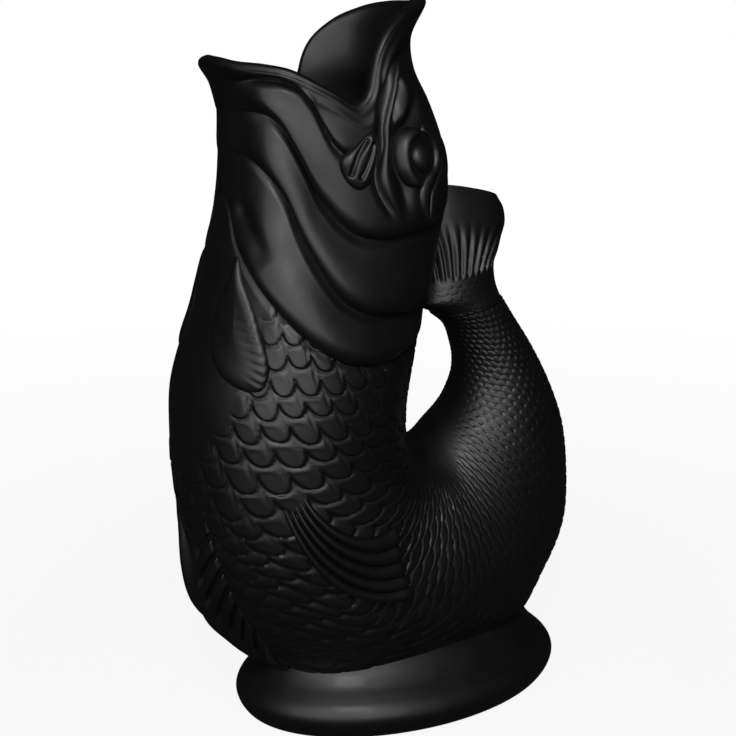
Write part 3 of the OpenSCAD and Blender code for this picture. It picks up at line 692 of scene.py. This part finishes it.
def layFold(name, node, lines, heights, lean=1.0, end=6, flat=2.0):
    # rounded folds side by side on the jaw, each between two curves from its upper to its lower end,
    # with a valley where they meet; lean moves a crest across, end blunts its ends, flat widens it
    sink, hollow, valley = 0.6, 0.35, 0.15 * heights[0]
    u = np.linspace(0, 1, 110)
    curves = [curveAt(line, u) for line in lines]
    taper = np.sqrt(np.clip(1 - (2 * u - 1)**end, 0.01, 1))[:, None]
    levels = [-sink] + [valley] * (len(heights) - 1) + [-sink]
    sa, rise = [], []
    for k, (p, q) in enumerate(zip(curves[:-1], curves[1:])):
        v = np.linspace(0, 1, 16)[min(k, 1):][None]
        sa.append(p[:, None] + (q - p)[:, None] * v[..., None])
        hump = np.sqrt(np.clip(1 - np.abs(2 * v**lean - 1)**flat, 0, 1))
        outward = v if k else 1 - v
        start = levels[k] + (levels[k + 1] - levels[k]) * v
        rise.append(start + (heights[k] + 0.6 * sink * outward) * taper * hump)
    sa, rise = np.concatenate(sa, 1), np.concatenate(rise, 1)
    ground = jawOff(sa[..., 0], sa[..., 1])
    over = skinAt(sa[..., 0], sa[..., 1], ground + rise)
    low = -sink - hollow * np.sin(math.pi * np.linspace(0, 1, rise.shape[1]))
    under = skinAt(sa[..., 0], sa[..., 1], ground + low)[:, ::-1][:, 1:-1]
    return layBar(name, node, np.concatenate([over, under], 1))


mirrored(layPad("leftEye", "left_eye", eye["outline"], eye["ball"], jawOff, power=2.2),
         "rightEye", "right_eye")
mirrored(layFold("leftEyelid", "left_eyelid", [eye["lidOuter"], eye["lidInner"]], [eye["lidHeight"]],
                 end=8), "rightEyelid", "right_eyelid")

cheek = {
    # share from its upper to its lower end, s and a
    "front": [[0, 16.5, 126], [0.15, 23, 115.5], [0.3, 30, 104.5], [0.45, 37, 97], [0.6, 44, 94],
              [0.75, 52, 89.5], [0.87, 59, 91.5], [1, 67.5, 101]],
    "rear": [[0, 18, 126], [0.15, 24.5, 117], [0.3, 30.5, 108.5], [0.45, 36.5, 101.5], [0.6, 44, 98],
             [0.75, 52, 97], [0.87, 59, 99], [1, 68, 104.5]],
    "height": 1.5,
}
mirrored(layFold("leftCheekRidge", "left_cheek_ridge", [cheek["front"], cheek["rear"]], [cheek["height"]],
                 lean=1.5, end=4, flat=2.4), "rightCheekRidge", "right_cheek_ridge")

brow = {
    # share from its upper to its lower end, s and a
    "inner": [[0, 39.5, 117.5], [0.15, 42, 121.5], [0.3, 46, 123], [0.48, 51, 120], [0.62, 54, 114.5],
              [0.75, 58, 110.5], [0.87, 62.5, 111], [1, 69.5, 117.5]],
    "line": [[0, 38, 119.5], [0.15, 40.5, 124], [0.3, 44.5, 127.5], [0.48, 50, 126], [0.62, 55, 121],
             [0.75, 59.5, 117], [0.87, 64.5, 117], [1, 70, 119.5]],
    "crest": [[0, 37, 122], [0.15, 38.5, 131], [0.3, 44, 137.5], [0.48, 52, 137], [0.62, 59, 130.5],
              [0.75, 63.5, 125], [0.87, 67.5, 122.5], [1, 71, 121.5]],
    "heights": [1.4, 1.2],
}
mirrored(layFold("leftBrowRidge", "left_brow_ridge", [brow["inner"], brow["line"], brow["crest"]],
                 brow["heights"]), "rightBrowRidge", "right_brow_ridge")

lobe = {
    "outline": [[39, 89], [43, 80.5], [47, 73], [51, 72.5], [55, 75.5], [57, 80.5], [55, 85.5], [50, 88.5],
                [44, 90]],
    "height": 2.4,
    "raised": 2.3,  # mm that the jaw is filled up under its upper end
    "raisedTo": (39, 14),  # place s where that ends, and over how much
    "slits": [[[41.5, 85.5], [45.5, 81], [49, 78.5], [52, 77]],
              [[43, 88], [46.5, 86], [50, 83.5], [53, 81]]],
    "slitDepth": 1.1,  # mm
    "slitWidth": 0.6,
}


def lobeBase(s, a):
    raised = lobe["raised"] * (1 - ramp(s, *lobe["raisedTo"]))
    return plateOff(s, a, rimAt(a) + 2, edgeAt(fish["jaw"], a)) + raised


def carveLobe(s, a, r):  # two slits that end before the rim, where r is 1
    cut = sum(ridge(lineAt(slit, s, a)[0], lobe["slitWidth"]) for slit in lobe["slits"])
    return -lobe["slitDepth"] * cut * ease((1 - r) * 5)


mirrored(layPad("leftJawLobe", "left_jaw_lobe", lobe["outline"], lobe["height"], lobeBase,
                carve=carveLobe), "rightJawLobe", "right_jaw_lobe")

pectoral = {
    "outline": [[78, 26], [84, 23], [89.5, 19.5], [95.5, 18], [102, 19.5], [108, 23.5], [113, 29.5],
                [117, 38], [119.5, 47], [119.5, 54.5], [115, 57], [108.5, 55], [101, 48.5], [93.5, 41.5],
                [86, 33.5]],
    "height": 2.1,
    "rays": 9,  # short strokes that run in from the raised rear rim
    "rayHeight": 0.16,
    "rayReach": 3.5,  # mm in from that rim
    "rimHeight": 0.25,
    "rimReach": 1.8,
    "hollow": 0.4,  # mm that the fin lies lower about halfway in
    "hollowAt": 0.45,  # share of the way from its middle to its edge
    "hollowWidth": 0.35,
    "edge": [[90, 36.5], [97, 43], [104, 49.5], [111, 54], [117, 54.5]],
}


def carvePectoral(s, a, r):
    far, share = lineAt(pectoral["edge"], s, a)
    stroke = np.sin(share * math.pi * pectoral["rays"] * 2 + far * 1.4)
    rays = pectoral["rayHeight"] * stroke * ridge(far, pectoral["rayReach"]) * ease(share * 4)
    rim = pectoral["rimHeight"] * ridge(far, pectoral["rimReach"]) * ease((share - 0.25) * 2)
    low = pectoral["hollow"] * ridge(r - pectoral["hollowAt"], pectoral["hollowWidth"])
    return (rays + rim) * ease((1 - r) * 12) - low


mirrored(layPad("leftPectoralFin", "left_pectoral_fin", pectoral["outline"], pectoral["height"], trimOff,
                power=4, carve=carvePectoral), "rightPectoralFin", "right_pectoral_fin")

sideFin = {
    # share of the length, s and a of its lower and its upper edge
    "low": [[0, 144, 62.5], [0.25, 156.5, 68.5], [0.5, 168.5, 74], [0.75, 180.5, 81.5], [1, 195, 90]],
    "high": [[0, 143, 73], [0.25, 151, 79.5], [0.5, 159.5, 89], [0.75, 166, 98.5], [1, 172, 111.5]],
    "rays": 5,
    "thick": 1.2,  # mm between the rays
    "ray": 2.2,  # mm that the rays stand out
    "bow": 2.4,  # mm that the free end bows out
    "notch": 2.2,  # mm that the free end is cut in between the rays
    "roundEnd": 0.07,  # share of the length over which the free end rounds down
    "sink": 0.6,  # mm that its edges go into the body
    "under": 0.95,  # mm that its underside lies in the body
}


def makeSideFin():
    u = np.linspace(0, 1, 120)[:, None]
    v = np.linspace(0, 1, sideFin["rays"] * 20 + 1)[None]
    low, high = curveAt(sideFin["low"], u), curveAt(sideFin["high"], u)
    s, a = np.moveaxis(low + (high - low) * v[..., None], -1, 0)
    wave = np.abs(np.sin(math.pi * v * sideFin["rays"]))
    s = s + sideFin["bow"] * np.sin(math.pi * v) * u**3 + sideFin["notch"] * (wave**0.8 - 1) * u**8
    last = np.clip(1 - (1 - u) / sideFin["roundEnd"], 0, 1)
    end = 0.2 + 0.8 * np.sqrt(1 - last**2)
    taper = ease(u * 1.9)
    tall = sideFin["sink"] + sideFin["thick"] * taper + sideFin["ray"] * wave**0.5 * (0.3 + 0.7 * taper)
    rise = tall * end - sideFin["sink"] - 1.2 * (1 - ease(u * 3.2))
    ground = trimOff(s, a)
    over = skinAt(s, a, ground + rise)
    under = skinAt(s, a, ground - sideFin["under"])[:, ::-1][:, 1:-1]
    return layBar("leftSideFin", "left_side_fin", np.concatenate([over, under], 1))


mirrored(makeSideFin(), "rightSideFin", "right_side_fin")

bellyFin = {
    # share of the length, s and a of the root
    "root": [[0, 149, 25], [0.2, 155.5, 27], [0.4, 161, 28.5], [0.6, 167, 28], [0.8, 172, 27],
             [0.93, 177, 26], [1, 182, 24]],
    # share of the length, s, a and height in mm of the free edge
    "edge": [[0, 152, 13, 0.3], [0.12, 158, 9, 1.8], [0.25, 164, 7.5, 4.8], [0.4, 169, 7.5, 7],
             [0.6, 174, 8.5, 5.5], [0.8, 179, 9.5, 3.8], [0.93, 182, 12, 2.4], [1, 184, 17, 1.2]],
    "slots": 9,
    "slot": 2.0,  # mm deep
    "rim": 0.5,  # mm that the free edge is thicker
    "rootHeight": 0.6,
    "rootSink": 1.7,  # mm that the root's edge goes into the body
    "under": 1.1,
}


def makeBellyFin():
    u = np.linspace(0, 1, 181)[:, None]
    v = np.linspace(0, 1, 44)[None]
    root, edge = curveAt(bellyFin["root"], u), curveAt(bellyFin["edge"], u)
    s, a = np.moveaxis(root + (edge[..., :2] - root) * v[..., None], -1, 0)
    # the slots start away from the root and end before the free edge
    slotted = np.clip(2.6 * np.sin(math.pi * u * bellyFin["slots"])**2 - 1.3, 0, 1)
    slotted = slotted * (0.5 + 0.5 * ramp(u, 0.1, 0.3))
    reach = ease(v * 9) * (1 - ramp(v, 0.62, 0.16)) * ease(u * 8) * ease((1 - u) * 12)
    rise = bellyFin["rootHeight"] + (edge[..., 2] - bellyFin["rootHeight"]) * v**0.85
    rise = rise - bellyFin["slot"] * slotted * reach + bellyFin["rim"] * ridge(v - 0.88, 0.1)
    rise = rise * ease(u * 6) - bellyFin["rootSink"] * (1 - ease(v * 10)) - 0.8 * ramp(v, 0.94, 0.06)
    ground = trimOff(s, a)
    over = skinAt(s, a, ground + rise)
    under = skinAt(s, a, ground - bellyFin["under"])[:, ::-1]
    return layBar("leftBellyFin", "left_belly_fin", np.concatenate([over, under], 1))


mirrored(makeBellyFin(), "rightBellyFin", "right_belly_fin")

rearFin = {
    "from": 239,  # place s of its upper end
    "to": 221.5,
    "height": 4,
    "half": 6,  # angle from its middle to its side
    "sink": 0.5,
    "under": 0.8,
}


def makeRearFin():
    u, v = np.linspace(0, 1, 60)[:, None], np.linspace(0, 1, 24)[None]
    s = rearFin["from"] + (rearFin["to"] - rearFin["from"]) * u + 0 * v
    a = rearFin["half"] * (2 * v - 1)
    crest = rearFin["sink"] + rearFin["height"] * (0.15 + 0.85 * np.sin(math.pi * u))
    over = skinAt(s, a, crest * np.sin(math.pi * v) - rearFin["sink"])
    under = skinAt(s, a, -rearFin["under"])[:, ::-1][:, 1:-1]
    return layBar("rearFin", "rear_fin", np.concatenate([over, under], 1))


makeRearFin()

fluke = {
    "height": 46,
    # share of the height, outer x, share of the height on the outer side, half thickness
    "outer": [[0, 39, 0, 12.5], [0.14, 37, 0.13, 11.5], [0.3, 36.5, 0.26, 10], [0.5, 38.5, 0.38, 8],
              [0.68, 41, 0.51, 6], [0.82, 42, 0.61, 4.6], [0.92, 41, 0.71, 3.6], [1, 38.5, 0.79, 2.6]],
    "ridges": 8,
    "ridgeHeight": 0.9,
    "ridgeEnd": (0.5, 0.3),  # share of the height where the ridges run out, and over how much
    "scaled": 0.27,  # share of the height that the scales cover
    "scalePitch": 2.3,
    "scaleHeight": 0.18,
    "scaleRound": 9,  # scales on one side
    "crownFrom": 0.93,  # share of the height from which the free edge rounds up between its corners
    "crown": 1.5,
}


def makeFluke():
    up = np.linspace(0, 1, 130)[:, None]
    r = curveAt(fluke["outer"], up)
    # the inner side rises from the tail along the neck, and the outer side leans away
    back, heel = skinAt(fish["handleEnd"], 180), skinAt(fish["handleEnd"], 0)
    z0 = back[2] + up * fluke["height"]
    x0 = back[0] + (skinAt(fish["top"] - z0, 180)[..., 0] - back[0]) * ease(up / 0.12)
    x1, z1 = r[..., 0] + fish["middleX"], heel[2] + r[..., 1] * fluke["height"]
    turn = ((np.arange(240) + 0.5) * 2 * math.pi / 240)[None]
    share, side = (1 - np.cos(turn)) / 2, np.sin(turn)
    flank = ease(np.abs(side) * 3)
    # the ridges fan out from the scales toward the free edge
    spread = (share - 0.6) * (1 + 1.3 * (0.62 - up)) + 0.6
    fan = np.abs(np.sin(math.pi * (spread * fluke["ridges"] + 0.25)))**1.4
    shown = ramp(up, fluke["scaled"] - 0.02, 0.07) * (1 - ramp(up, *fluke["ridgeEnd"])) * flank
    row = 40 - up * fluke["height"] / fluke["scalePitch"]
    scaled = lobes(row, share * fluke["scaleRound"], fluke["scalePitch"], (x1 - x0) / fluke["scaleRound"],
                   fluke["scaleHeight"])
    scaled = scaled * (1 - ramp(up, fluke["scaled"] - 0.04, 0.05)) * flank
    half = r[..., 2] * np.abs(side)**0.8 + (fan - 0.5) * fluke["ridgeHeight"] * shown + scaled
    crown = fluke["crown"] * np.clip((up - fluke["crownFrom"]) / (1 - fluke["crownFrom"]), 0, 1)**2
    points = [x0 + (x1 - x0) * share, half * np.sign(side), z0 + (z1 - z0) * share + crown * np.abs(side)]
    return layBar("tailFluke", "tail_fluke", np.stack(points, -1))


makeFluke()
print("fins and details made")


# Floor, light and camera, in metres

studio = {
    "floorSize": 6.0,
    "floorColour": "#ffffff",  # white paper for the camera
    "floorBounce": "#303030",  # what the paper gives back in a dim room
    "lift": (0.9, 1.0),  # share of plain white that the camera sees near the jug and far from it
    "liftReach": (0.15, 0.7),
    "gloss": 0.01,  # share of that white that the dark glaze mirrors, as in a dim room
    "fill": "#d9dce6",
    "fillStrength": 0.005,
    "aim": (0, 0, 0.13),  # the middle of the jug
    "keyAt": (-0.36, -0.83, 0.95),
    "keySize": (0.35, 0.35),
    "keyWatts": 3.5,
    "softAt": (-0.55, -0.92, 0.52),  # wide and low behind the camera, so that the jug's edges turn dark
    "softSize": (1.6, 0.9),
    "softWatts": 8.5,
}

view = {
    "place": (-0.1849, -0.3746, 0.23),
    "heading": 25.7,  # degrees from +Y toward +X
    "dip": 14.04,  # degrees down
    "lens": 58.7,  # mm, on a sensor 36 mm wide
    "sensor": 36,
    "nearest": 0.01,
}


def whiteBackground(tree, lit, lift=None):  # lit, mixed toward white for the camera and a little for gloss
    path = addNode(tree, "ShaderNodeLightPath").outputs
    gloss = addNode(tree, "ShaderNodeMath", {"operation": "MULTIPLY"}, {1: studio["gloss"]},
                    {0: path["Is Glossy Ray"]})
    clear = addNode(tree, "ShaderNodeMath", {"operation": "MAXIMUM"}, None,
                    {0: path["Is Camera Ray"], 1: path["Is Transmission Ray"]})
    seen = addNode(tree, "ShaderNodeMath", {"operation": "MAXIMUM"}, None,
                   {0: clear.outputs[0], 1: gloss.outputs[0]})
    if lift:
        seen = addNode(tree, "ShaderNodeMath", {"operation": "MULTIPLY"}, None,
                       {0: seen.outputs[0], 1: lift.outputs[0]})
    white = addNode(tree, "ShaderNodeEmission", None, {"Color": (1, 1, 1, 1), "Strength": 1.0})
    return addNode(tree, "ShaderNodeMixShader", None, None,
                   {0: seen.outputs[0], 1: lit.outputs[0], 2: white.outputs[0]}).outputs[0]


def makePaper():
    made = bpy.data.materials.new("paleFloorPaper")
    made.use_nodes = True
    tree = made.node_tree
    tree.nodes.clear()
    path = addNode(tree, "ShaderNodeLightPath").outputs
    tint = addNode(tree, "ShaderNodeMix", {"data_type": "RGBA"}, None, {"Factor": path["Is Camera Ray"]})
    tint.inputs["A"].default_value = linear(studio["floorBounce"])
    tint.inputs["B"].default_value = linear(studio["floorColour"])
    matt = addNode(tree, "ShaderNodeBsdfDiffuse", None, None, {"Color": tint.outputs["Result"]})
    where = addNode(tree, "ShaderNodeTexCoord").outputs["Object"]
    away = addNode(tree, "ShaderNodeVectorMath", {"operation": "LENGTH"}, None, {0: where})
    lift = addNode(tree, "ShaderNodeMapRange", None,
                   {"From Min": studio["liftReach"][0], "From Max": studio["liftReach"][1],
                    "To Min": studio["lift"][0], "To Max": studio["lift"][1]},
                   {"Value": away.outputs["Value"]})
    addNode(tree, "ShaderNodeOutputMaterial", None, None, {"Surface": whiteBackground(tree, matt, lift)})
    return made


def makeRoom():
    room = bpy.data.worlds.new("studioRoom")
    room.use_nodes = True
    room.node_tree.nodes.clear()
    fill = addNode(room.node_tree, "ShaderNodeBackground", None,
                   {"Color": linear(studio["fill"]), "Strength": studio["fillStrength"]})
    addNode(room.node_tree, "ShaderNodeOutputWorld", None, None,
            {"Surface": whiteBackground(room.node_tree, fill)})
    return room


def softBox(name, at, size, watts):
    bpy.ops.object.select_all(action="DESELECT")
    bpy.ops.object.light_add(type="AREA", location=at)
    lamp = bpy.context.object
    lamp.name = name
    lamp.data.shape = "RECTANGLE"
    lamp.data.size, lamp.data.size_y = size
    lamp.data.energy = watts
    lamp.rotation_mode = "QUATERNION"
    lamp.rotation_quaternion = (Vector(studio["aim"]) - Vector(at)).to_track_quat("-Z", "Y")


bpy.ops.object.select_all(action="DESELECT")
bpy.ops.mesh.primitive_plane_add(size=studio["floorSize"], location=(0, 0, 0))
paperSheet = bpy.context.object
paperSheet.name = paperSheet.data.name = "studioFloor"
paperSheet.data.materials.append(makePaper())
bpy.context.scene.world = makeRoom()
softBox("keyLight", studio["keyAt"], studio["keySize"], studio["keyWatts"])
softBox("softLight", studio["softAt"], studio["softSize"], studio["softWatts"])

bpy.ops.object.camera_add(location=view["place"])
camera = bpy.context.object
camera.name = "photoCamera"
camera.data.lens, camera.data.sensor_width = view["lens"], view["sensor"]
camera.data.clip_start = view["nearest"]
heading, dip = math.radians(view["heading"]), math.radians(view["dip"])
ahead = Vector((math.sin(heading) * math.cos(dip), math.cos(heading) * math.cos(dip), -math.sin(dip)))
camera.rotation_mode = "QUATERNION"
camera.rotation_quaternion = ahead.to_track_quat("-Z", "Y")
bpy.context.scene.camera = camera
bpy.context.scene.view_settings.view_transform = "Standard"
print("stage set")
